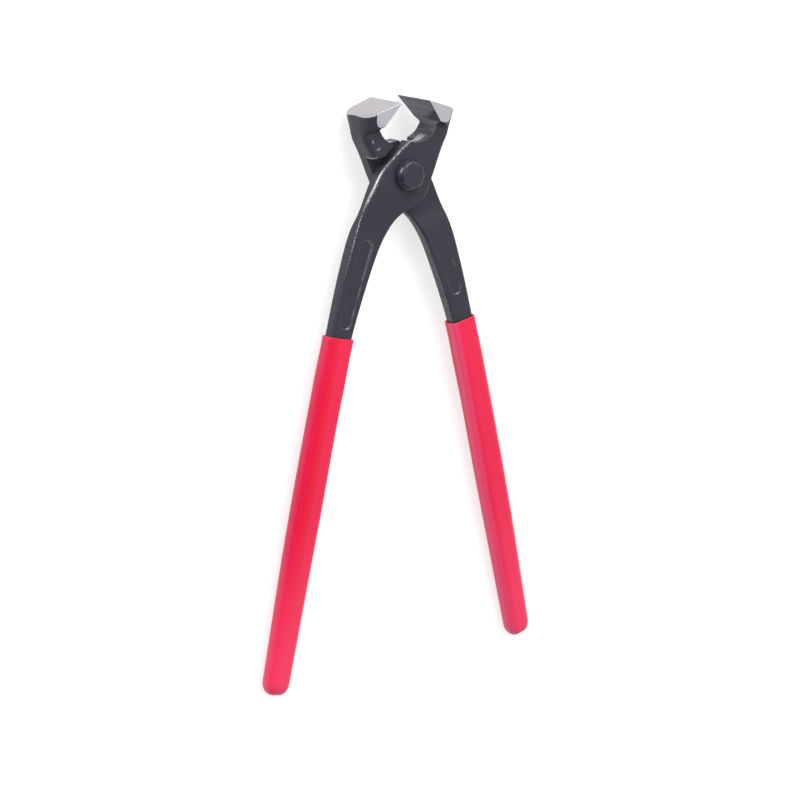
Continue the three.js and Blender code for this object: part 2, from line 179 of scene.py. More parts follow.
class ShankSizes(bpy.types.PropertyGroup):
    """Shank and tang of one lever."""

    half_opening: angle("Half opening", "Turn of each lever from its drawing, as it rests", 13.1)
    handle_end: length("Handle end", "Rivet axis to the end of a coated handle", 219.9)
    bend: length("Bend", "Rivet axis to the shank's bend", 26.5)
    bend_back: length("Bend back", "Tool axis to the outer edge at the bend", 18.1)
    bend_front: length("Bend front", "Tool axis to the inner edge at the bend", 3.7)
    bend_front_face: length("Bend front face", "Lap plane to the front face at the bend", 3.6)
    bend_rear_face: length("Bend rear face", "Lap plane to the rear face at the bend", 2.2)
    middle: length("Middle", "Rivet axis to the middle of the shank", 43.5)
    middle_back: length("Middle back", "Tool axis to the outer edge at the middle", 19.7)
    middle_front: length("Middle front", "Tool axis to the inner edge at the middle", 7.0)
    end: length("End", "Rivet axis to where the handle runs straight", 75.0)
    handle_offset: length("Handle offset", "Tool axis to the handle's centre line", 15.5)
    handle_end_offset: length("Handle end offset", "The same at the handle's end", 14.5)
    tang_width: length("Tang width", "Width of the bar inside the coat", 10.0)
    tang_end_width: length("Tang end width", "Width of that bar at its end", 8.0)
    tang_thickness: length("Tang thickness", "Thickness of that bar", 6.0)
    tang_corner: length("Tang corner", "Corner radius of that bar", 1.5)
    crisp_corner: length("Crisp corner", "How much less round the shank's inner rear corner is", 0.8)
    taper: length("Taper", "Last stretch, where the handle narrows", 68.4)
    panel_depth: length("Panel depth", "Depth of the bare sunk panels", 0.5)
    panel_wall: length("Panel wall", "Width of the sloping walls round those panels", 0.6)
    panel_width: length("Panel width", "Width of the bare sunk panels", 5.6)
    front_panel: length("Front panel", "Rivet axis to the front panel's upper end", 28.8)
    front_panel_length: length("Front panel length", "Length of the front panel", 37.2)
    rear_panel: length("Rear panel", "Rivet axis to the rear panel's upper end", 37.0)
    rear_panel_length: length("Rear panel length", "Length of the rear panel", 21.0)


class CoatSizes(bpy.types.PropertyGroup):
    """Dipped coat of one handle."""

    length: length("Length", "Length of the coat", 150.4)
    wall: length("Wall", "Thickness of the coat at its rim", 0.85)
    swell: length("Swell", "How much thicker the coat is below its rim", 0.6)
    soft_corner: length("Soft corner", "How much rounder the handle's corners grow inside the coat", 1.25)
    softening: length(
        "Softening", "Stretch below the rim over which the coat swells and its outer corners soften", 22.0)
    gap: length("Gap", "Between the coat and the bar inside it", 0.25)
    end_wall: length("End wall", "Closed end of the coat", 4.5)
    end_round: length("End round", "Length of the round at the closed end", 5.5)
    end_depth: length("End depth", "How far the sides draw in over that round", 4.0)
    lip: length("Lip", "Round on the coat's rim", 0.4)


class RivetSizes(bpy.types.PropertyGroup):
    """Rivet through both levers."""

    radius: length("Radius", "Radius of the shank", 4.2)
    head_radius: length("Head radius", "Radius of a head", 6.3)
    flat_radius: length("Flat radius", "Radius of a head's flat top", 5.0)
    head_height: length("Head height", "Height of a head", 3.2)
    rim: length("Rim", "Straight side of a head below its sloped edge", 1.7)
    bulge: length("Bulge", "How far that sloped edge stands out", 0.1)
    seat_gap: length("Seat gap", "Between a head and the hub under it", 0.3)


class Finishes(bpy.types.PropertyGroup):
    """Colours and roughness of the surfaces."""

    oxide: colour("Oxide", "Black oxide on the forgings", (0.0305, 0.0285, 0.0415))
    rubbed: colour("Rubbed oxide", "Oxide rubbed to a gloss in the mouth", (0.13, 0.126, 0.142))
    # Also the colour of the painted highlight along the lobe's edge.
    worn: colour("Worn steel", "Steel that shows through along worn edges", (0.36, 0.35, 0.36))
    # Also the colour of the painted light on the front panel's upper end.
    steel: colour("Steel", "Bare steel of the ground tops", (0.43, 0.408, 0.425))
    # Also the colour of the painted highlight on the mouth's floor.
    cheek: colour("Cheek", "Bare steel of the ground cheeks", (0.64, 0.635, 0.69))
    # Painted highlight: near white along the borders of the ground faces.
    painted_glint: colour("Glint", "Bare steel along the borders of the ground faces", (0.92, 0.90, 0.92))
    plastic: colour("Plastic", "Dipped red plastic", (0.86, 0.010, 0.070))
    # Painted light: paler red towards the handle's end, where more light falls on it.
    pale_plastic: colour("Pale plastic", "The same, paler, at the handle's end", (0.92, 0.036, 0.115))
    # Painted shade: darker red in a strip along the front, standing in for where the coat reflects no light.
    ridge_plastic: colour(
        "Ridge plastic", "The same along the front ridge, where the dip is thick", (0.77, 0.001, 0.034))
    # Painted shade: darker red on the outer side, against the light from the left.
    shade_plastic: colour("Shade plastic", "The same on the outer side", (0.72, 0.006, 0.060))
    # Painted sheen: paler pinkish red on the inner side, standing in for a reflection.
    bloom_plastic: colour(
        "Bloom plastic", "The same on the inner side, under a pale bloom", (0.89, 0.065, 0.165))
    oxide_roughness: share("Oxide roughness", "Roughness of the black oxide", 0.42)
    steel_roughness: share("Steel roughness", "Roughness of the ground steel", 0.36)
    plastic_roughness: share("Plastic roughness", "Roughness of the plastic", 0.24)


class StageSettings(bpy.types.PropertyGroup):
    """Floor, light and camera."""

    view_turn: angle("View turn", "Turn of the camera about the tool's long axis", 35.57)
    view_tilt: angle("View tilt", "Height of the camera towards the jaws", 9.18)
    view_distance: length("View distance", "Camera to the rivet", 969.6)
    view_drop: angle("View drop", "How far below the rivet the camera aims", 5.444)
    focal_pixels: share("Focal length", "In pixels of the image", 2383.4, 100000.0)
    floor_size: length("Floor size", "Width of the floor", 8000.0)
    floor_grey: colour("Floor grey", "Darkest tone of the floor under the lamps", (0.50, 0.50, 0.50))
    floor_pale: colour("Floor pale", "Palest tone of the floor under the lamps", (0.52, 0.52, 0.52))
    floor_glow: share("Floor glow", "What makes the floor white to the camera and in reflections", 0.66)
    side_power: share("Side power", "Watts of the light on the left", 9.0, 1000.0)
    top_power: share("Top power", "Watts of the light beyond the jaws", 10.0, 1000.0)
    sky_level: share("Sky level", "Strength of the surroundings", 0.8, 10.0)
    sky_left: colour("Sky left", "Tone of the surroundings on the left", (0.24, 0.24, 0.27))
    sky_right: colour("Sky right", "Tone of the surroundings on the right", (1.0, 1.0, 1.0))


class NippersSettings(bpy.types.PropertyGroup):
    """Everything that can be set on the nippers."""

    jaw: PointerProperty(type=JawSizes)
    hub: PointerProperty(type=HubSizes)
    shank: PointerProperty(type=ShankSizes)
    coat: PointerProperty(type=CoatSizes)
    rivet: PointerProperty(type=RivetSizes)
    finish: PointerProperty(type=Finishes)
    stage: PointerProperty(type=StageSettings)


def smooth_curve(pairs):
    """A smooth curve through (position, value) pairs, held level outside them.

    Between two pairs it is a cubic whose slope at each pair is the mean of the straight slopes on both sides.
    """
    position, value = np.array(pairs, float).T
    straight = np.diff(value) / np.diff(position)
    slope = np.concatenate([straight[:1], (straight[1:] + straight[:-1]) / 2, straight[-1:]])

    def evaluate(at):
        at = np.clip(at, position[0], position[-1])
        i = np.clip(np.searchsorted(position, at, side="right") - 1, 0, len(position) - 2)
        span = position[i + 1] - position[i]
        t = (at - position[i]) / span
        rise = value[i + 1] - value[i]
        return (
            value[i] + t * t * (3 - 2 * t) * rise
            + span * t * (1 - t) * ((1 - t) * slope[i] - t * slope[i + 1])
        )

    return evaluate


class LeverPlan:
    """Edges, faces and corner rounds of one lever as functions of the place along it.

    It is drawn as good as closed: jaw to the right of the tool axis, handle to the left, rivet at the origin.
    """

    LARGEST_ROUND = 0.48

    def __init__(self, settings):
        jaw, hub, shank, coat = settings.jaw, settings.hub, settings.shank, settings.coat
        self.tang_end = -(shank.handle_end - coat.end_wall)
        self.taper_start = -(shank.handle_end - shank.taper)
        self.rim = -(shank.handle_end - coat.length)
        self.hollow_level = jaw.pivot_to_edge - jaw.hollow_drop
        waist_level = jaw.pivot_to_edge - jaw.waist_drop
        cheek_foot = jaw.pivot_to_edge - jaw.cheek_drop
        lip_foot = cheek_foot - jaw.cheek_lip
        half_end = shank.tang_end_width / 2
        half_tang = shank.tang_width / 2
        self.outer_edge = smooth_curve([
            (self.tang_end, -(shank.handle_end_offset + half_end)),
            (self.taper_start, -(shank.handle_offset + half_tang)),
            (-shank.end, -(shank.handle_offset + half_tang)),
            (-shank.middle, -shank.middle_back),
            (-shank.bend, -shank.bend_back),
            (-hub.flat, -hub.heel),
            (0, -hub.back),
            (jaw.mouth_floor / 2, -hub.shoulder),
            (jaw.mouth_floor, -hub.top),
        ])
        lobe_turn = np.linspace(hub.lobe_start, hub.lobe_end, 3)
        lobe = np.linspace(hub.lobe, hub.lobe_side, 3)
        self.inner_edge = smooth_curve([
            (self.tang_end, -(shank.handle_end_offset - half_end)),
            (self.taper_start, -(shank.handle_offset - half_tang)),
            (-shank.end, -(shank.handle_offset - half_tang)),
            (-shank.middle, -shank.middle_front),
            (-shank.bend, -shank.bend_front),
            (-hub.crotch, 0),
            *zip(-lobe * np.sin(lobe_turn), lobe * np.cos(lobe_turn)),
            (0, hub.front),
            (jaw.mouth_floor, jaw.neck),
            (waist_level, jaw.waist),
            (jaw.pivot_to_edge, jaw.back),
        ])
        self.jaw_widening = smooth_curve([
            (hub.flat, hub.thickness),
            (jaw.mouth_floor, jaw.neck_width / 2),
            (waist_level, jaw.waist_width / 2),
            (lip_foot, jaw.waist_width / 2),
            (cheek_foot, jaw.cheek_foot_width / 2),
            (jaw.pivot_to_edge, jaw.edge_length / 2 + jaw.flare),
        ])
        half_thickness = shank.tang_thickness / 2
        self.shank_front = smooth_curve([
            (-shank.middle, half_thickness),
            (-shank.bend, shank.bend_front_face),
            (-hub.flat, hub.thickness),
        ])
        before_lap = -hub.lap_gap / 3  # The pocket's cut takes off the rest of the gap.
        self.shank_rear = smooth_curve([
            (-shank.middle, half_thickness),
            (-shank.bend, shank.bend_rear_face),
            (-hub.crotch, before_lap),
            (-hub.flat, before_lap),
        ])
        self.outer_round = smooth_curve([
            (-shank.middle, shank.tang_corner),
            (-hub.flat, hub.edge_round),
            (jaw.mouth_floor, hub.top_round),
        ])
        self.edge_lean = smooth_curve([(-shank.middle, 1.0), (-hub.flat, hub.edge_lean)])
        self.lap_round = smooth_curve([
            (-shank.middle, shank.tang_corner),
            (-hub.crotch, hub.lap_round),
        ])
        self.crisp = smooth_curve([
            (self.rim + 2 * coat.lip, 0), (-(shank.middle + shank.end) / 2, shank.crisp_corner),
            (-shank.middle, shank.crisp_corner), (-shank.bend, 0)])
        self.outer_softening = smooth_curve([(self.rim - coat.softening, coat.soft_corner), (self.rim, 0)])
        self.inner_softening = smooth_curve([(self.taper_start, coat.soft_corner), (self.rim, 0)])
        self.inner_round = smooth_curve([
            (-shank.bend, shank.tang_corner),
            (-hub.crotch, hub.lobe_round),
            (0, hub.lobe_round),
            (jaw.mouth_floor, jaw.neck_round),
            (waist_level, jaw.waist_round),
            (lip_foot, jaw.waist_round),
            (cheek_foot, jaw.cheek_foot_round),
            (jaw.pivot_to_edge, jaw.back_round),
        ])

    def front_face(self, y):
        """Lap plane to the front face."""
        return np.where(y > 0, self.jaw_widening(y), self.shank_front(y))

    def rear_face(self, y):
        """Lap plane to the rear face."""
        return np.where(y > 0, self.jaw_widening(y), self.shank_rear(y))

    def middle_line(self, y):
        """Tool axis to halfway between the two edges."""
        return (self.outer_edge(y) + self.inner_edge(y)) / 2

    def edge_radii(self, place, outer):
        """Width and height of the quarter ellipse on the long outer edge."""
        lean = self.edge_lean(place)
        return outer * lean, outer / np.sqrt(lean)

    def sections(self, along, offset, corner_steps, flat_steps):
        """Rounded rectangles across the lever, one row for each place along it, grown by an offset.

        A row runs round four corners and fills each flat between them evenly. The corners are quarter
        circles, but on the hub's long outer edge a quarter ellipse. Inside the coat they grow rounder.
        """
        along, offset = np.broadcast_arrays(np.asarray(along, float), offset)
        place = np.maximum(along, self.tang_end)
        left = self.outer_edge(place) - offset
        right = self.inner_edge(place) + offset
        front = self.front_face(place) + offset
        rear = -self.rear_face(place) - offset
        limit = self.LARGEST_ROUND * np.minimum(front - rear, right - left)
        outer = np.minimum(self.outer_round(place) + self.outer_softening(place) + offset, limit)
        lap = np.minimum(self.lap_round(place) + self.outer_softening(place) + offset, limit)
        inner = np.minimum(self.inner_round(place) + self.inner_softening(place) + offset, limit)
        wide, tall = self.edge_radii(place, outer)
        crisp = inner - self.crisp(place)
        across = np.stack([inner, wide, lap, crisp], 1)[:, :, None]
        high = np.stack([inner, tall, lap, crisp], 1)[:, :, None]
        centre_x = np.stack([right, left, left, right], 1)[:, :, None] + across * SIDES[:, :1]
        centre_z = np.stack([front, front, rear, rear], 1)[:, :, None] + high * SIDES[:, 1:]
        turn = (np.arange(4)[:, None] + np.linspace(0, 1, corner_steps + 1)) * np.pi / 2
        arc_x = centre_x + across * np.cos(turn)
        arc_z = centre_z + high * np.sin(turn)
        t = np.arange(1, flat_steps) / flat_steps
        flat_x = arc_x[:, :, -1:] + t * (np.roll(arc_x, -1, 1)[:, :, :1] - arc_x[:, :, -1:])
        flat_z = arc_z[:, :, -1:] + t * (np.roll(arc_z, -1, 1)[:, :, :1] - arc_z[:, :, -1:])
        x = np.concatenate([arc_x, flat_x], 2).reshape(len(along), -1)
        z = np.concatenate([arc_z, flat_z], 2).reshape(len(along), -1)
        return np.stack([x, np.broadcast_to(along[:, None], x.shape), z], 2)


def skin_faces(rows, ring):
    """Quads of a grid of rows that closes round each row, with the first and last row filled by one face."""
    i, j = np.meshgrid(np.arange(rows - 1), np.arange(ring), indexing="ij")
    a = i * ring + j
    b = i * ring + (j + 1) % ring
    quads = np.stack([a, a + ring, b + ring, b], 2).reshape(-1, 4)
    first = np.arange(ring)
    last = (rows - 1) * ring + np.arange(ring)[::-1]
    return [*quads.tolist(), first.tolist(), last.tolist()]


def new_mesh(name, points, faces):
    """A mesh from an array of points and a list of faces."""
    mesh = bpy.data.meshes.new(name)
    mesh.from_pydata(np.asarray(points).reshape(-1, 3).tolist(), [], faces)
    mesh.update()
    return mesh


def add_object(mesh, name):
    """An object at the origin that holds a mesh."""
    piece = bpy.data.objects.new(name, mesh)
    bpy.context.scene.collection.objects.link(piece)
    return piece


def tapered(upper, lower, low, high):
    """A straight skin from a lower plan outline at one level to an upper one, of as many points, above."""
    ends = ((upper, high), (lower, low))
    levels = [np.column_stack([outline, np.full(len(outline), z)]) for outline, z in ends]
    return new_mesh("cut", np.stack(levels), skin_faces(2, len(upper)))


def prism(outline, low, high):
    """A plan outline carried straight along Z from one level to another."""
    return tapered(outline, outline, low, high)


def arc(centre, radius, start, end, steps):
    """Points round part of an ellipse: centre plus radius times cosine and sine of an even run of angles."""
    turn = np.linspace(start, end, steps + 1)
    return np.asarray(centre) + np.asarray(radius) * np.stack([np.cos(turn), np.sin(turn)], 1)


def mouth_outline(settings, plan, steps):
    """Mouth: the straight bevel below the edge, a curved blend, then a quarter ellipse down to the floor."""
    jaw = settings.jaw
    edge = -jaw.edge_lead

    def bevel(x):
        return jaw.pivot_to_edge - (x - edge) * np.tan(jaw.bevel_angle)

    left = -(settings.hub.back + CUT_MARGIN)
    top = jaw.pivot_to_edge + 2 * CUT_MARGIN
    blend = jaw.hollow_reach - jaw.hollow_blend
    hollow = arc(
        (-jaw.hollow_lead, plan.hollow_level),
        (jaw.hollow_reach + jaw.hollow_lead, plan.hollow_level - jaw.mouth_floor),
        -np.pi / 2, 0, steps)
    t = np.linspace(0, 1, steps // 2)[1:, None]
    start, pull, end = hollow[-1], (jaw.hollow_reach, bevel(jaw.hollow_reach)), (blend, bevel(blend))
    curve = (1 - t) ** 2 * start + 2 * t * (1 - t) * np.array(pull) + t ** 2 * np.array(end)
    past = edge - CUT_MARGIN / 2
    return np.concatenate([
        [(past, top), (left, top), (left, jaw.mouth_floor)], hollow, curve, [(past, bevel(past))]])


def panel_outline(plan, shank, start, run, grow=0.0, steps=16):
    """Sunk panel with round ends: two half circles on the shank's middle line, turned to its lean."""
    radius = shank.panel_width / 2
    high = -(start + radius)
    low = -(start + run - radius)
    upper, lower = plan.middle_line(high), plan.middle_line(low)
    lean = np.arctan2(upper - lower, high - low)
    return np.concatenate([
        arc((upper, high), radius + grow, -lean, np.pi - lean, steps),
        arc((lower, low), radius + grow, np.pi - lean, 2 * np.pi - lean, steps),
    ])


def panel_block(plan, shank, start, run, face):
    """What is pressed out of a panel: its outline at the floor, spreading evenly with the height above it."""
    floor = shank.tang_thickness / 2 - shank.panel_depth
    rise = CUT_MARGIN
    narrow = panel_outline(plan, shank, start, run, -shank.panel_wall)
    spread = rise * shank.panel_wall / shank.panel_depth
    wide = panel_outline(plan, shank, start, run, spread - shank.panel_wall)
    if face > 0:
        return tapered(wide, narrow, floor, floor + rise)
    return tapered(narrow, wide, -floor - rise, -floor)


def ground_block(point, side, normal, reach, width):
    """What a grinding wheel takes off: a block on a plane, turned from up or down to the plane's normal."""
    block = prism(SIDES * (width / 2, reach), *sorted((0, side * width)))
    turn = Vector((0, 0, side)).rotation_difference(Vector(normal))
    block.transform(Matrix.Translation(point) @ turn.to_matrix().to_4x4())
    return block


def ground_top(jaw, x, z):
    """Height of the ground top: a plane that falls to the back, less a square towards both corners."""
    reach = x * np.cos(jaw.corner_turn) + np.abs(z) * np.sin(jaw.corner_turn)
    roll = np.maximum(reach - jaw.corner_start, 0) / jaw.corner_run
    return jaw.pivot_to_edge - (x + jaw.edge_lead) * np.tan(jaw.top_fall) - jaw.corner_drop * roll ** 2


def top_block(jaw):
    """What is ground off the top: the sheet of the ground top on a grid, carried up to a level above the jaw.

    The grid is close where the top rolls off and wide elsewhere.
    """
    back, wide = jaw.back, jaw.edge_length
    x = np.concatenate([[-CUT_MARGIN, 0.4 * back], np.linspace(0.55 * back, jaw.waist + CUT_MARGIN, 40)])
    side = np.concatenate([np.linspace(wide, 0.35 * wide, 40), [0.3 * wide], np.linspace(0.2 * wide, 0, 3)])
    z = np.concatenate([side, -side[-2::-1]])
    x, z = np.meshgrid(x, z)
    sheet = np.stack([x, ground_top(jaw, x, z), z], 2)
    above = sheet[:, [-1, 0]]
    above[:, :, 1] = jaw.pivot_to_edge + CUT_MARGIN
    sections = np.concatenate([sheet, above], 1)
    return new_mesh("cut", sections, skin_faces(*sections.shape[:2]))


def cheek_planes(jaw):
    """Points, sides and normals of the two ground cheeks."""
    end = (-jaw.edge_lead, jaw.pivot_to_edge)
    return [
        ((*end, side * jaw.edge_length / 2), side, (np.tan(run), -np.tan(fall), side))
        for side, run, fall in ((1, jaw.cheek_run, jaw.cheek_fall), (-1, jaw.rear_run, jaw.rear_fall))]


def cut_mesh(mesh, cutters):
    """A mesh with the cutter meshes taken out of it, one after another."""
    body = add_object(mesh, "forging")
    tools = [add_object(cutter, "cutter") for cutter in cutters]
    for tool in tools:
        cut = body.modifiers.new("cut", "BOOLEAN")
        cut.object = tool
        cut.operation = "DIFFERENCE"
        cut.solver = "EXACT"
    graph = bpy.context.evaluated_depsgraph_get()
    result = bpy.data.meshes.new_from_object(body.evaluated_get(graph), depsgraph=graph)
    for piece in (body, *tools):
        data = piece.data
        bpy.data.objects.remove(piece)
        bpy.data.meshes.remove(data)
    return result


def merged(mesh):
    """The mesh with points that lie together made one and with no face of zero area."""
    shape = bmesh.new()
    shape.from_mesh(mesh)
    bmesh.ops.remove_doubles(shape, verts=shape.verts, dist=SAME_POINT)
    bmesh.ops.dissolve_degenerate(shape, dist=SAME_POINT, edges=shape.edges)
    shape.to_mesh(mesh)
    shape.free()
    return mesh


def shade_smooth(mesh, sharpest):
    """Shades a mesh smooth, but not across edges that turn by more than an angle in degrees."""
    mesh.shade_smooth()
    mesh.set_sharp_from_angle(angle=np.radians(sharpest))


def points_of(mesh):
    """The mesh's points as an array."""
    flat = np.empty(len(mesh.vertices) * 3)
    mesh.vertices.foreach_get("co", flat)
    return flat.reshape(-1, 3)


def faces_of(mesh):
    """The middles and the normals of the mesh's faces as two arrays."""
    flat = np.empty((2, len(mesh.polygons) * 3))
    mesh.polygons.foreach_get("center", flat[0])
    mesh.polygons.foreach_get("normal", flat[1])
    return flat.reshape(2, -1, 3)


def distance_to_line(points, line):
    """How far plan points are from a line of straight stretches: the least distance to any stretch."""
    start, run = line[:-1], np.diff(line, axis=0)
    away = points[:, None] - start
    t = np.clip((away * run).sum(2) / (run * run).sum(1), 0, 1)
    return np.linalg.norm(away - t[..., None] * run, axis=2).min(1)


def store(mesh, name, domain, values):
    """Puts one number for each point or face into a named attribute."""
    attribute = mesh.attributes.new(name, "FLOAT", domain)
    attribute.data.foreach_set("value", np.ascontiguousarray(values, dtype=np.float32))


def smoothstep(low, high, value):
    """0 below low, 1 above high, and 3t^2 - 2t^3 between."""
    t = np.clip((value - low) / (high - low), 0, 1)
    return t * t * (3 - 2 * t)


def forged_lever(settings):
    """One lever as drawn: a loft of rounded rectangles with the rest cut out of it.

    The cuts are the mouth, the lap pocket, the bore, the ground faces and the panels.
    """
    jaw, hub, shank = settings.jaw, settings.hub, settings.shank
    plan = LeverPlan(settings)
    along = np.concatenate([
        np.linspace(plan.tang_end, plan.taper_start, 8)[:-1],
        np.linspace(plan.taper_start, -shank.end, 8)[:-1],
        np.linspace(-shank.end, -shank.bend, 40)[:-1],
        np.linspace(-shank.bend, jaw.pivot_to_edge, 110),
        [jaw.pivot_to_edge + CUT_MARGIN],
    ])
    sections = plan.sections(along, 0.0, corner_steps=18, flat_steps=5)
    loft = new_mesh("loft", sections, skin_faces(*sections.shape[:2]))
    far = jaw.edge_length
    pocket = hub.lobe + hub.lap_clearance
    beyond = jaw.waist + CUT_MARGIN
    ledge, tip, high = hub.pocket_shoulder, hub.hollow_tip, plan.hollow_level
    square = [(0, 0), (beyond, 0), (beyond, ledge), (tip, ledge), (tip, high), (0, high)]
    mouth = mouth_outline(settings, plan, 32)
    panels = [
        (shank.front_panel, shank.front_panel_length, 1),
        (shank.rear_panel, shank.rear_panel_length, -1),
    ]
    cutters = [
        prism(mouth, -far, far),
        prism(arc((0, 0), pocket, 0, 2 * np.pi, 128)[:-1], -far, hub.lap_gap / 2),
        prism(square, -far, hub.lap_gap / 2),
        prism(arc((0, 0), hub.bore, 0, 2 * np.pi, 96)[:-1], -far, far),
        top_block(jaw),
        *(ground_block(*plane, jaw.hollow_drop, 2 * jaw.pivot_to_edge) for plane in cheek_planes(jaw)),
        *(panel_block(plan, shank, *panel) for panel in panels),
    ]
    mesh = merged(cut_mesh(loft, cutters))
    shade_smooth(mesh, 28)
    mark_finishes(mesh, settings, plan, mouth, panels)
    return mesh


def mark_finishes(mesh, settings, plan, mouth, panels):
    """Stores where a drawn lever is ground, rubbed, worn and painted with a highlight, and each point's place
    as it is drawn.
    """
    centres, normals = faces_of(mesh)
    top, cheeks = ground_faces(settings.jaw, centres, normals)
    store(mesh, "ground", "FACE", top)
    store(mesh, "cheek", "FACE", cheeks)
    store(mesh, "rubbed", "FACE", rubbed_faces(settings, plan, mouth, panels, centres, normals))
    points = points_of(mesh)
    drawn = mesh.attributes.new("drawn", "FLOAT_VECTOR", "POINT")
    drawn.data.foreach_set("vector", np.ascontiguousarray(points, dtype=np.float32).ravel())
    store(mesh, "wear", "POINT", worn_and_highlit_edges(plan, points))


def ground_faces(jaw, centres, normals):
    """Which faces lie on the ground top, and which lie on a ground cheek and look the same way."""
    x, y, z = centres.T
    top = (np.abs(y - ground_top(jaw, x, z)) < ON_TOP) & (normals[:, 1] > 0.3)
    cheeks = np.zeros(len(centres), bool)
    for point, _, normal in cheek_planes(jaw):
        normal = np.array(normal) / np.linalg.norm(normal)
        cheeks |= (np.abs((centres - point) @ normal) < ON_FLAT) & (normals @ normal > 0.999)
    return top, cheeks


def rubbed_faces(settings, plan, mouth, panels, centres, normals):
    """1 on the walls of the mouth, the panels and the hollow's blunt end, less on the shank's inner side.

    Faces are told by their place and by how far their normals lean.
    """
    hub, inner_rub_and_reflection = settings.hub, 0.6
    x, y, z = centres.T
    across, upright = normals[:, 0], normals[:, 2]
    rubbed = (distance_to_line(centres[:, :2], mouth) < ON_MOUTH) & (np.abs(upright) < 0.05)
    for start, run, face in panels:
        border = panel_outline(plan, settings.shank, start, run)
        close = distance_to_line(centres[:, :2], np.concatenate([border, border[:1]])) < ON_PANEL_WALL
        sloped = (face * upright > 0.5) & (face * upright < 0.93)
        rubbed |= close & (face * z > 0) & sloped
    # The hollow's blunt end is marked too, so that the painted highlight on the mouth's floor covers it.
    rubbed |= (np.abs(x - hub.hollow_tip) < ON_FLAT) & (across < -0.9) & (y > hub.pocket_shoulder)
    # The shank's inner side is rubbed a little; its lighter tone there is partly a painted reflection of the
    # floor.
    inner_side = (across > 0.85) & (y < -hub.crotch) & (y > plan.rim)
    return np.where(rubbed, 1.0, inner_rub_and_reflection * inner_side)


def worn_and_highlit_edges(plan, points):
    """1 on the middle of each line, falling evenly to 0 at its borders and on to -1.

    One line is worn steel along the hub's long outer edge and the other one a painted highlight along the
    lobe, each at its own turn round the edge's quarter ellipse. Down the shank the first one turns to the
    front face, narrows and fades out.
    Turns and half widths are in degrees.
    """
    x, y, z = points.T
    front = plan.front_face(y)
    wide, tall = plan.edge_radii(y, plan.outer_round(y))
    lobe_round = plan.inner_round(y)
    narrow = smoothstep(-9 * MM, -22 * MM, y)
    over = smoothstep(-15 * MM, -38 * MM, y)
    faded = smoothstep(-30 * MM, -70 * MM, y)
    past_top = smoothstep(13.5 * MM, 14.5 * MM, y)
    turn = 12.0 + 33.0 * over
    half = 24.0 - 13.0 * narrow + 12.0 * smoothstep(0, 12 * MM, y)
    long_edge = edge_band(plan.outer_edge(y) + wide - x, z - front + tall, wide, tall, turn, half)
    long_edge -= 0.45 * narrow + faded + 2 * past_top
    below_lobe = smoothstep(-17 * MM, -20 * MM, y)
    above_lobe = smoothstep(-4 * MM, 2 * MM, y)
    # Painted highlight along the lobe's rounded edge, where that edge catches the light.
    lobe_painted_highlight = edge_band(
        x - plan.inner_edge(y) + lobe_round, z - front + lobe_round, lobe_round, lobe_round, 68.0, 22.0)
    lobe_painted_highlight -= 0.35 + 2 * below_lobe + 2 * above_lobe
    return np.clip(np.maximum(long_edge, lobe_painted_highlight), -1, 1)


def edge_band(out, up, wide, tall, turn, half):
    """1 where a point lies at a turn round a quarter ellipse, falling evenly to 0 half a width to each side.

    The point stands out and up from the ellipse's middle, and the turn starts at out. Further off the
    ellipse than a tenth of its radius it is -1.
    """
    out, up = out / wide, up / tall
    at = np.degrees(np.arctan2(up, out))
    return np.where(np.abs(np.hypot(out, up) - 1) < 0.1, 1 - np.abs(at - turn) / half, -1)


def placed(mesh, name, settings, half):
    """A copy of a drawn mesh in its place: the front one turned open, the rear one turned over first."""
    copy = mesh.copy()
    copy.name = name
    over = Matrix.Rotation(0 if half > 0 else np.pi, 4, "Y")
    opened = Matrix.Rotation(-half * settings.shank.half_opening, 4, "Z")
    copy.transform(Matrix.Translation(PIVOT) @ opened @ over)
    return copy


def dipped_coat(settings):
    """One closed coat: sections grown off the bar, round the end, up to the rim, over the lip and inside.

    Round the end the growth rises along a quarter ellipse, and over the lip it falls along a half one. In
    between the coat swells from its rim down by a smooth step.
    """
    coat, shank = settings.coat, settings.shank
    plan = LeverPlan(settings)
    cover = coat.gap + coat.wall
    turn = np.linspace(0, np.pi / 2, 18)
    end_along = -shank.handle_end + coat.end_round * (1 - np.cos(turn))
    end_offset = cover + coat.swell - coat.end_depth * (1 - np.sin(turn))
    body = np.concatenate([
        np.linspace(-shank.handle_end + coat.end_round, plan.taper_start, 30)[1:],
        np.linspace(plan.taper_start, -shank.end, 30)[1:],
        np.linspace(-shank.end, plan.rim - coat.lip, 8)[1:],
    ])
    lip_turn = np.linspace(np.pi / 2, -np.pi / 2, 11)[1:]
    lip_middle = coat.gap + coat.wall / 2
    lip_along = plan.rim - coat.lip + coat.lip * np.cos(lip_turn)
    lip_offset = lip_middle + coat.wall / 2 * np.sin(lip_turn)
    inside = np.concatenate([
        np.linspace(plan.rim - coat.lip, -shank.end, 8)[1:],
        [plan.taper_start, plan.tang_end, plan.tang_end - coat.gap],
    ])
    along = np.concatenate([end_along, body, lip_along, inside])
    swollen = cover + coat.swell * smoothstep(plan.rim, plan.rim - coat.softening, body)
    offset = np.concatenate([end_offset, swollen, lip_offset, np.full(len(inside), coat.gap)])
    sections = plan.sections(along, offset, corner_steps=10, flat_steps=6)
    mesh = new_mesh("coat", sections, skin_faces(*sections.shape[:2]))
    shade_smooth(mesh, 50)
    mark_painted_light(mesh, sections, coat, plan)
    return mesh


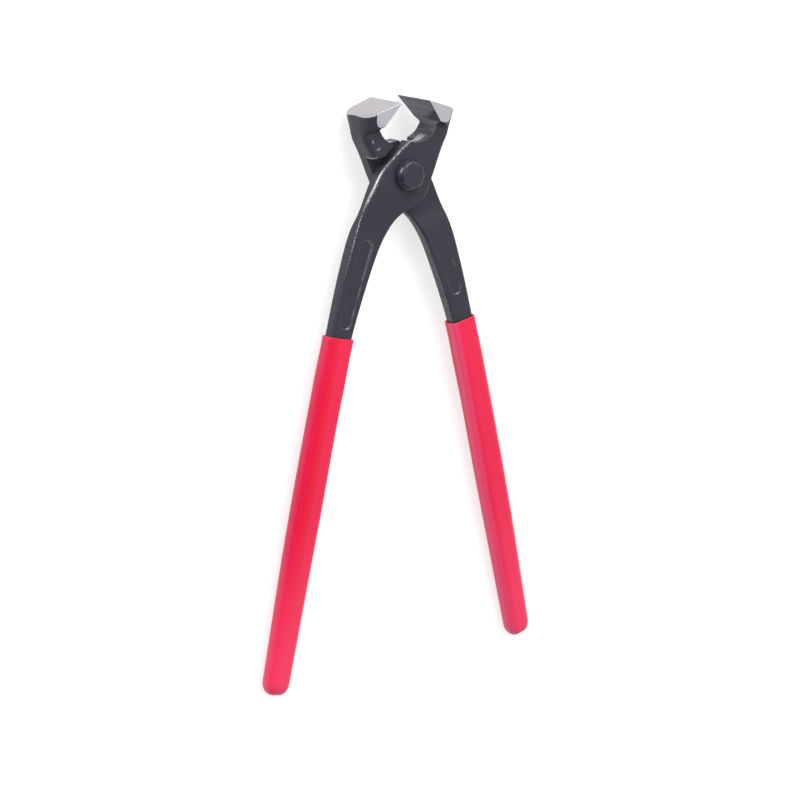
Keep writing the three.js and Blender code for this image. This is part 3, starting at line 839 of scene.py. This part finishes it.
def mark_painted_light(mesh, sections, coat, plan):
    """Painted light and shade on a coat: darker on the outer side, a darker strip beside it, a sheen inside,
    a paler end.

    Each mark is made of smooth steps of how far a point is from the outer or inner side, from the middle
    plane and down the coat. The darker strip's inner border bows by half a sine wave along the coat.
    """
    x, y, z = np.moveaxis(sections, 2, 0)
    down = (plan.rim - y) / coat.length
    # Painted light: paler towards the coat's end.
    pale = smoothstep(0.45, 1.0, down)
    from_outer = x - x.min(1, keepdims=True)
    from_inner = x.max(1, keepdims=True) - x
    ridge_end = (4.6 + 1.6 * np.sin(np.pi * down)) * MM
    beyond_side = smoothstep(0.8 * MM, 2.2 * MM, from_outer)
    upper = smoothstep(-1 * MM, 1 * MM, z)
    # Painted shade: a darker strip beside the outer side, on the front half.
    ridge = beyond_side * upper * smoothstep(ridge_end + 0.6 * MM, ridge_end - 0.8 * MM, from_outer)
    # Painted sheen on the inner side, on the rear half as drawn.
    bloom = smoothstep(2.6 * MM, 1.0 * MM, from_inner) * (1 - upper)
    # The outer side gets painted shade.
    for name, marks in (("pale", pale), ("ridge", ridge), ("shade", 1 - beyond_side), ("bloom", bloom)):
        store(mesh, name, "POINT", marks.ravel())


def turned_rivet(settings):
    """Rivet: a profile of radius and height turned about the axis, the lower half the upper one mirrored.

    The head's edge is a cone from its straight side to its flat top, bulged by half a sine wave.
    """
    rivet, hub = settings.rivet, settings.hub
    seat = hub.thickness + rivet.seat_gap
    brow = seat + rivet.rim
    top = seat + rivet.head_height
    t = np.linspace(0, 1, 13)[:, None]
    start, end = np.array([(rivet.head_radius, brow), (rivet.flat_radius, top)])
    edge = start + t * (end - start) + rivet.bulge * np.sin(np.pi * t)
    flat = np.linspace(rivet.flat_radius, rivet.flat_radius / 6, 6)[1:]
    foot = 0.12 * MM  # A small bevel where the head meets the hub.
    upper = np.concatenate([
        [(rivet.radius, 0), (rivet.radius, seat)],
        [(rivet.head_radius - foot, seat), (rivet.head_radius, seat + foot)],
        edge,
        np.column_stack([flat, np.full(len(flat), top)]),
    ])
    lower = upper[:0:-1] * (1, -1)
    profile = np.concatenate([lower, upper])
    turn = np.linspace(0, 2 * np.pi, 97)[:-1]
    radius, height = profile[:, :1], profile[:, 1:]
    points = np.stack([
        radius * np.cos(turn), radius * np.sin(turn), np.broadcast_to(height, (len(profile), len(turn)))], 2)
    mesh = new_mesh("rivet", points, [face[::-1] for face in skin_faces(*points.shape[:2])])
    shade_smooth(mesh, 40)
    mesh.transform(Matrix.Translation(PIVOT))
    on_edge = (radius > rivet.flat_radius - SAME_POINT) & (np.abs(height) > brow - SAME_POINT)
    from_corner = np.hypot(radius - rivet.flat_radius, np.abs(height) - top)
    edge_rub, corner_wear, worn_half = 1.4, -0.25, 0.5 * MM
    worn = np.maximum(corner_wear - from_corner / worn_half, -1)
    store(mesh, "rubbed", "POINT", np.repeat(edge_rub * on_edge, len(turn)))
    store(mesh, "wear", "POINT", np.repeat(worn, len(turn)))
    return mesh


class Field:
    """A number that varies over a surface. Sums, differences and products of it add Math nodes."""

    def __init__(self, sheet, socket):
        self.sheet = sheet
        self.socket = socket

    def math(self, operation, *operands):
        """What a Math node makes of its operands."""
        node = self.sheet.node("ShaderNodeMath", {"operation": operation}, dict(enumerate(operands)))
        return Field(self.sheet, node.outputs[0])

    def __add__(self, other):
        return self.math("ADD", self, other)

    def __sub__(self, other):
        return self.math("SUBTRACT", self, other)

    def __rsub__(self, other):
        return self.math("SUBTRACT", other, self)

    def __mul__(self, other):
        return self.math("MULTIPLY", self, other)

    __radd__ = __add__
    __rmul__ = __mul__

    def highest(self, other):
        """The higher one of two numbers."""
        return self.math("MAXIMUM", self, other)

    def lowest(self, other):
        """The lower one of two numbers."""
        return self.math("MINIMUM", self, other)

    def near(self, centre, half):
        """1 at a value, falling evenly to 0 half a width to each side and on below that."""
        away = self - centre
        return 1 - away.math("ABSOLUTE", away) * (1 / half)

    def step(self, low, high):
        """0 below low, 1 above high and a straight rise between."""
        sockets = {0: self, 1: low, 2: high, 3: 0.0, 4: 1.0}
        node = self.sheet.node("ShaderNodeMapRange", {"clamp": True}, sockets)
        return Field(self.sheet, node.outputs[0])


class Sheet:
    """The nodes of one material or of the world."""

    def __init__(self, owner):
        owner.use_nodes = True
        self.tree = owner.node_tree
        self.tree.nodes.clear()

    def node(self, kind, settings=None, sockets=None):
        """Adds a node: first its settings, then the value or the link of each named socket."""
        node = self.tree.nodes.new(kind)
        for name, value in (settings or {}).items():
            setattr(node, name, value)
        for name, value in (sockets or {}).items():
            socket = node.inputs[name]
            source = value.socket if isinstance(value, Field) else value
            if isinstance(source, bpy.types.NodeSocket):
                self.tree.links.new(source, socket)
            else:
                socket.default_value = source
        return node

    def attribute(self, name):
        """A number that is stored on the mesh."""
        node = self.node("ShaderNodeAttribute", {"attribute_name": name})
        return Field(self, node.outputs["Fac"])

    def drawn(self):
        """Where a point lies as its lever is drawn: across, along and up from the rivet."""
        where = self.node("ShaderNodeAttribute", {"attribute_name": "drawn"}).outputs["Vector"]
        return [Field(self, part) for part in self.node("ShaderNodeSeparateXYZ", None, {0: where}).outputs]

    def place(self, scale=(1, 1, 1)):
        """Object coordinates, stretched."""
        where = self.node("ShaderNodeTexCoord").outputs["Object"]
        node = self.node("ShaderNodeMapping", {"vector_type": "POINT"}, {"Vector": where, "Scale": scale})
        return node.outputs["Vector"]

    def noise(self, size, detail=3.0, scale=(1, 1, 1)):
        """Noise whose largest features are about one size across."""
        sockets = {"Vector": self.place(scale), "Scale": 1 / size, "Detail": detail}
        return Field(self, self.node("ShaderNodeTexNoise", None, sockets).outputs[0])

    def mix(self, factor, first, second):
        """A blend of two colours."""
        node = self.node("ShaderNodeMix", {"data_type": "RGBA"}, {0: factor, 6: first, 7: second})
        return node.outputs[2]

    def dot(self, first, second):
        """How far two directions agree."""
        node = self.node("ShaderNodeVectorMath", {"operation": "DOT_PRODUCT"}, {0: first, 1: second})
        return Field(self, node.outputs["Value"])

    def bump(self, height, depth, strength, normal=None):
        """A normal tilted by a relief of some depth, on top of another normal if there is one."""
        sockets = {"Height": height, "Distance": depth, "Strength": strength}
        if normal is not None:
            sockets["Normal"] = normal
        return self.node("ShaderNodeBump", None, sockets).outputs["Normal"]

    def surface(self, **sockets):
        """Ends the material in one shader, whose sockets are named in small letters."""
        titles = (name.replace("_", " ").title().replace("Ior", "IOR") for name in sockets)
        shader = self.node("ShaderNodeBsdfPrincipled", None, dict(zip(titles, sockets.values())))
        self.node("ShaderNodeOutputMaterial", None, {"Surface": shader.outputs[0]})


def rgba(values, level=1.0):
    """An opaque colour from red, green and blue times a level."""
    return (*(level * value for value in values), 1.0)


def forged_finish(settings, name, chipping, gloss_level):
    """Black oxide with a fine forged grain, rubbed to a gloss in the mouth, bare steel where ground or worn.

    Sharp edges are worn too: there a softened normal leaves the true one, and chipping says how much steel
    shows; along the ground faces those edges get a painted highlight. The pocket's shoulder and two knocks on
    the jaw's side are worn. The lobe's edge gets a painted highlight in worn steel, the mouth's floor beside
    the lap is scoured and painted light grey as a highlight, and the front panel's upper end is painted
    lighter where the lamps leave it dark. The gloss level multiplies the tones of what is rubbed.
    """
    finish, jaw, hub = settings.finish, settings.jaw, settings.hub
    material = bpy.data.materials.new(name)
    sheet = Sheet(material)
    grain = sheet.noise(0.9 * MM, detail=4.0)
    cloud = sheet.noise(14 * MM, detail=2.0)
    speckle = sheet.noise(0.45 * MM, detail=2.0) - 0.5
    streak = sheet.noise(2.4 * MM, detail=2.0, scale=(1, 1, 0.1))
    ground, cheek, rubbed = (sheet.attribute(part) for part in ("ground", "cheek", "rubbed"))
    bright = ground.highest(cheek)
    soft = sheet.node("ShaderNodeBevel", {"samples": 6}, {"Radius": 0.22 * MM}).outputs[0]
    true = sheet.node("ShaderNodeNewGeometry").outputs["Normal"]
    edge = 1 - sheet.dot(soft, true)
    across, along, up = sheet.drawn()
    high_knock, low_knock = (
        across.near(x, half_x).lowest(along.near(y, half_y)) for x, half_x, y, half_y in KNOCKS)
    knocks = high_knock.highest(low_knock) * up.step(-4 * MM, -5 * MM)
    shoulder = along.near(hub.pocket_shoulder + 0.4 * MM, 0.8 * MM).lowest(across.step(12.5 * MM, 14 * MM))
    shoulder = shoulder * up.step(0, -MM) * 0.7
    beside_lap = across.step(0.0, 2 * MM).lowest(up.near(0.5 * MM, 3 * MM))
    # The mouth's floor beside the lap is scoured, and painted light grey there as a highlight.
    scrub_and_painted_highlight = along.near(jaw.mouth_floor + MM, 3.6 * MM).lowest(beside_lap) * rubbed * 1.8
    # Painted light: the front panel's upper wall is lightened where the lamps leave it dark.
    panel_end_painted_light = along.near(-settings.shank.front_panel - MM, 2.5 * MM) * rubbed * up.step(0, MM) * 0.4
    # Worn steel along the hub's long edge and the rivet's top edge, and a painted highlight along the lobe's
    # edge.
    line = (sheet.attribute("wear") + 3.0 * speckle).step(0.1, 0.7)
    nick = (edge * (2.0 + 6.0 * (cloud - 0.5) + 2.0 * speckle)).step(0.1, 0.45) * chipping
    # Worn knocks and shoulder, together with the painted light on the front panel's upper end.
    wear_and_painted_light_patch = (knocks.highest(shoulder).highest(panel_end_painted_light) * (1 + 1.8 * speckle)).step(0.2, 0.9) * 0.85
    painted_highlight_on_scrub = (scrub_and_painted_highlight * (1 + 1.2 * speckle)).step(0.2, 1.2)
    bare = line.highest(nick)
    oxide = sheet.mix(cloud, rgba(finish.oxide), rgba(finish.oxide, 1.25))
    gloss = sheet.mix(
        streak.step(0.42, 0.62), rgba(finish.oxide, gloss_level), rgba(finish.rubbed, gloss_level / 2))
    steel = sheet.mix(streak, rgba(finish.steel, 0.94), rgba(finish.steel))
    steel = sheet.mix(cheek, steel, rgba(finish.cheek))
    # Painted highlight along the sharp edges of the ground faces.
    steel = sheet.mix((edge * 3.0).step(0.1, 0.5), steel, rgba(finish.painted_glint))
    dark = sheet.mix(bare, sheet.mix(rubbed, oxide, gloss), rgba(finish.worn))
    # Bare steel where worn, and as painted light on the front panel's upper end.
    dark = sheet.mix(wear_and_painted_light_patch, dark, rgba(finish.steel))
    # Painted highlight in light bare steel on the mouth's floor beside the lap.
    dark = sheet.mix(painted_highlight_on_scrub, dark, rgba(finish.cheek))
    dark_rough = finish.oxide_roughness + 0.14 * (grain - 0.5) - 0.12 * rubbed
    bare_rough = finish.steel_roughness + 0.12 * (streak - 0.5)
    relief = (1 - bright) * (grain * 0.7 + cloud * 0.6) + bright * streak * 0.15
    sheet.surface(
        base_color=sheet.mix(bright, dark, steel),
        metallic=bright.highest(bare).highest(rubbed * 0.35 * (1 - wear_and_painted_light_patch.highest(painted_highlight_on_scrub))),
        roughness=dark_rough + bright * (bare_rough - dark_rough),
        specular_ior_level=0.3,
        normal=sheet.bump(relief, 0.08 * MM, 0.5, soft))
    return material


def plastic_finish(finish):
    """Glossy dipped plastic: red with a faint flow, a slight ripple and painted light and shade from marks on
    the mesh.
    """
    material = bpy.data.materials.new("dipped_plastic")
    sheet = Sheet(material)
    flow = sheet.noise(22 * MM, detail=2.0)
    ripple = sheet.noise(6 * MM, detail=2.0, scale=(1, 0.35, 1))
    pores = sheet.noise(0.5 * MM, detail=2.0)
    red = sheet.mix(flow, rgba(finish.plastic, 0.93), rgba(finish.plastic))
    # Painted light and shade, one mark after another, from the marks on the mesh.
    for name in ("ridge", "shade", "pale", "bloom"):
        red = sheet.mix(sheet.attribute(name), red, rgba(getattr(finish, name + "_plastic")))
    sheet.surface(
        base_color=red,
        roughness=finish.plastic_roughness + 0.08 * (pores - 0.5),
        specular_ior_level=0.4,
        normal=sheet.bump(ripple + pores * 0.06, 0.12 * MM, 0.4))
    return material


def floor_finish(stage):
    """Pale floor that stays white to the camera and in reflections and still takes the tool's soft shadow."""
    material = bpy.data.materials.new("pale_floor")
    sheet = Sheet(material)
    path = sheet.node("ShaderNodeLightPath").outputs
    camera, glossy, through = (
        Field(sheet, path[f"Is {kind} Ray"]) for kind in ("Camera", "Glossy", "Transmission"))
    seen = sheet.mix(camera.highest(glossy).highest(through), (0, 0, 0, 1), (1, 1, 1, 1))
    tone = sheet.mix(sheet.noise(400 * MM), rgba(stage.floor_grey), rgba(stage.floor_pale))
    lit = sheet.node("ShaderNodeBsdfDiffuse", None, {"Color": tone})
    glow = sheet.node("ShaderNodeEmission", None, {"Color": seen, "Strength": stage.floor_glow})
    both = sheet.node("ShaderNodeAddShader", None, {0: lit.outputs[0], 1: glow.outputs[0]})
    sheet.node("ShaderNodeOutputMaterial", None, {"Surface": both.outputs[0]})
    return material


def soft_sky(stage):
    """Soft surroundings: a pale dome that is brighter on the right than on the left."""
    world = bpy.data.worlds.new("soft_sky")
    bpy.context.scene.world = world
    sheet = Sheet(world)
    where = sheet.node("ShaderNodeTexCoord").outputs["Generated"]
    across = sheet.node("ShaderNodeSeparateXYZ", None, {0: where}).outputs[0]
    side = Field(sheet, across).step(-0.9, 0.5)
    tint = sheet.mix(side, rgba(stage.sky_left), rgba(stage.sky_right))
    sky = sheet.node("ShaderNodeBackground", None, {"Color": tint, "Strength": stage.sky_level})
    sheet.node("ShaderNodeOutputWorld", None, {"Surface": sky.outputs[0]})


def area_light(name, direction, distance, size, power):
    """A soft square lamp that looks at the rivet from a direction."""
    lamp = bpy.data.lights.new(name, "AREA")
    lamp.size = size
    lamp.energy = power
    piece = bpy.data.objects.new(name, lamp)
    bpy.context.scene.collection.objects.link(piece)
    away = Vector(direction).normalized()
    piece.location = Vector(PIVOT) + away * distance
    piece.rotation_euler = away.to_track_quat("Z", "Y").to_euler()


def dress(piece, material, body, node):
    """Gives a piece its material and its body, and hides the solid that it stands for."""
    piece.data.materials.append(material)
    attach(piece, body)
    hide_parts(node)


def add_pair(drawn, settings, material, piece, node):
    """Puts a copy of a drawn mesh on each half of the tool and dresses both."""
    for side, half, body in HALVES:
        name = f"{side}_{piece}"
        copy = add_object(placed(drawn, name, settings, half), name)
        dress(copy, material, body, f"{side}_{node}")
    bpy.data.meshes.remove(drawn)


class NIPPERS_OT_levers(bpy.types.Operator):
    """Forge both levers, grind their jaws and lap them"""

    bl_idname = "nippers.levers"
    bl_label = "Levers"

    def execute(self, context):
        settings = context.scene.nippers
        drawn = forged_lever(settings)
        material = forged_finish(settings, "black_forging", chipping=0.7, gloss_level=2.0)
        add_pair(drawn, settings, material, "forged_lever", "lever")
        return {"FINISHED"}


class NIPPERS_OT_rivet(bpy.types.Operator):
    """Set the rivet through the lap"""

    bl_idname = "nippers.rivet"
    bl_label = "Rivet"

    def execute(self, context):
        settings = context.scene.nippers
        piece = add_object(turned_rivet(settings), "set_rivet")
        material = forged_finish(settings, "black_rivet", chipping=0.3, gloss_level=1.2)
        dress(piece, material, REAR_BODY, "pivot_rivet")
        return {"FINISHED"}


class NIPPERS_OT_coats(bpy.types.Operator):
    """Dip both handles"""

    bl_idname = "nippers.coats"
    bl_label = "Handle Coats"

    def execute(self, context):
        settings = context.scene.nippers
        drawn = dipped_coat(settings)
        material = plastic_finish(settings.finish)
        add_pair(drawn, settings, material, "dipped_coat", "handle_coat")
        return {"FINISHED"}


class NIPPERS_OT_stage(bpy.types.Operator):
    """Lay the floor, light the tool and set the camera"""

    bl_idname = "nippers.stage"
    bl_label = "Stage"

    def execute(self, context):
        scene = context.scene
        stage = scene.nippers.stage
        scene.view_settings.view_transform = "Standard"
        self.lay_floor(stage)
        soft_sky(stage)
        for name, direction, distance, size, watts in LAMPS:
            area_light(name, direction, distance, size, getattr(stage, watts))
        self.set_camera(scene, stage)
        return {"FINISHED"}

    def lay_floor(self, stage):
        """A flat sheet that the tool rests on with the lowest points of its jaws and its handle ends."""
        jaw_low, jaw_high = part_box("front_lever")
        coat_low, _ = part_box("front_handle_coat")
        slope = (jaw_low[2] - coat_low[2]) / (jaw_high[1] - coat_low[1])
        corners = SIDES * stage.floor_size / 2
        level = coat_low[2] + slope * (corners[:, 1] - coat_low[1])
        floor = add_object(new_mesh("floor", np.column_stack([corners, level]), [[0, 1, 2, 3]]), "floor")
        floor.data.materials.append(floor_finish(stage))

    def set_camera(self, scene, stage):
        """The camera stands off the rivet, turned about the long axis and tilted, and aims a little lower."""
        turn, tilt = stage.view_turn, stage.view_tilt
        away = Vector((-np.sin(turn) * np.cos(tilt), np.sin(tilt), np.cos(turn) * np.cos(tilt)))
        right = (-away).cross(Vector((0, 1, 0))).normalized()
        lower = Matrix.Rotation(-stage.view_drop, 3, right)
        aim = lower @ -away
        up = lower @ right.cross(-away)
        camera = bpy.data.objects.new("camera", bpy.data.cameras.new("camera"))
        scene.collection.objects.link(camera)
        camera.data.lens = camera.data.sensor_width * stage.focal_pixels / IMAGE_PIXELS
        camera.data.clip_end = 100.0
        axes = Matrix((right, up, -aim)).transposed().to_4x4()
        camera.matrix_world = Matrix.Translation(Vector(PIVOT) + away * stage.view_distance) @ axes
        scene.camera = camera


class NIPPERS_PT_panel(bpy.types.Panel):
    """Lists the pieces of the nippers and their sizes"""

    bl_idname = "NIPPERS_PT_panel"
    bl_label = "Concreters Nippers"
    bl_space_type = "VIEW_3D"
    bl_region_type = "UI"
    bl_category = "Nippers"

    def draw(self, context):
        settings = context.scene.nippers
        for operator in OPERATORS:
            self.layout.operator(operator.bl_idname)
        for group in ("jaw", "hub", "shank", "coat", "rivet", "finish", "stage"):
            box = self.layout.box()
            box.label(text=group.title())
            sizes = getattr(settings, group)
            for name in sizes.bl_rna.properties.keys():
                if name not in ("rna_type", "name"):
                    box.prop(sizes, name)


OPERATORS = (NIPPERS_OT_levers, NIPPERS_OT_rivet, NIPPERS_OT_coats, NIPPERS_OT_stage)
GROUPS = (JawSizes, HubSizes, ShankSizes, CoatSizes, RivetSizes, Finishes, StageSettings, NippersSettings)
CLASSES = (*GROUPS, *OPERATORS, NIPPERS_PT_panel)


def register():
    """Makes the classes and the scene's settings known to Blender."""
    for cls in CLASSES:
        bpy.utils.register_class(cls)
    bpy.types.Scene.nippers = PointerProperty(type=NippersSettings)


def unregister():
    """Takes the settings and the classes away again."""
    del bpy.types.Scene.nippers
    for cls in reversed(CLASSES):
        bpy.utils.unregister_class(cls)


def main():
    """Builds every piece in order."""
    register()
    bpy.ops.nippers.levers()
    bpy.ops.nippers.rivet()
    bpy.ops.nippers.coats()
    bpy.ops.nippers.stage()


if __name__ == "__main__":
    main()
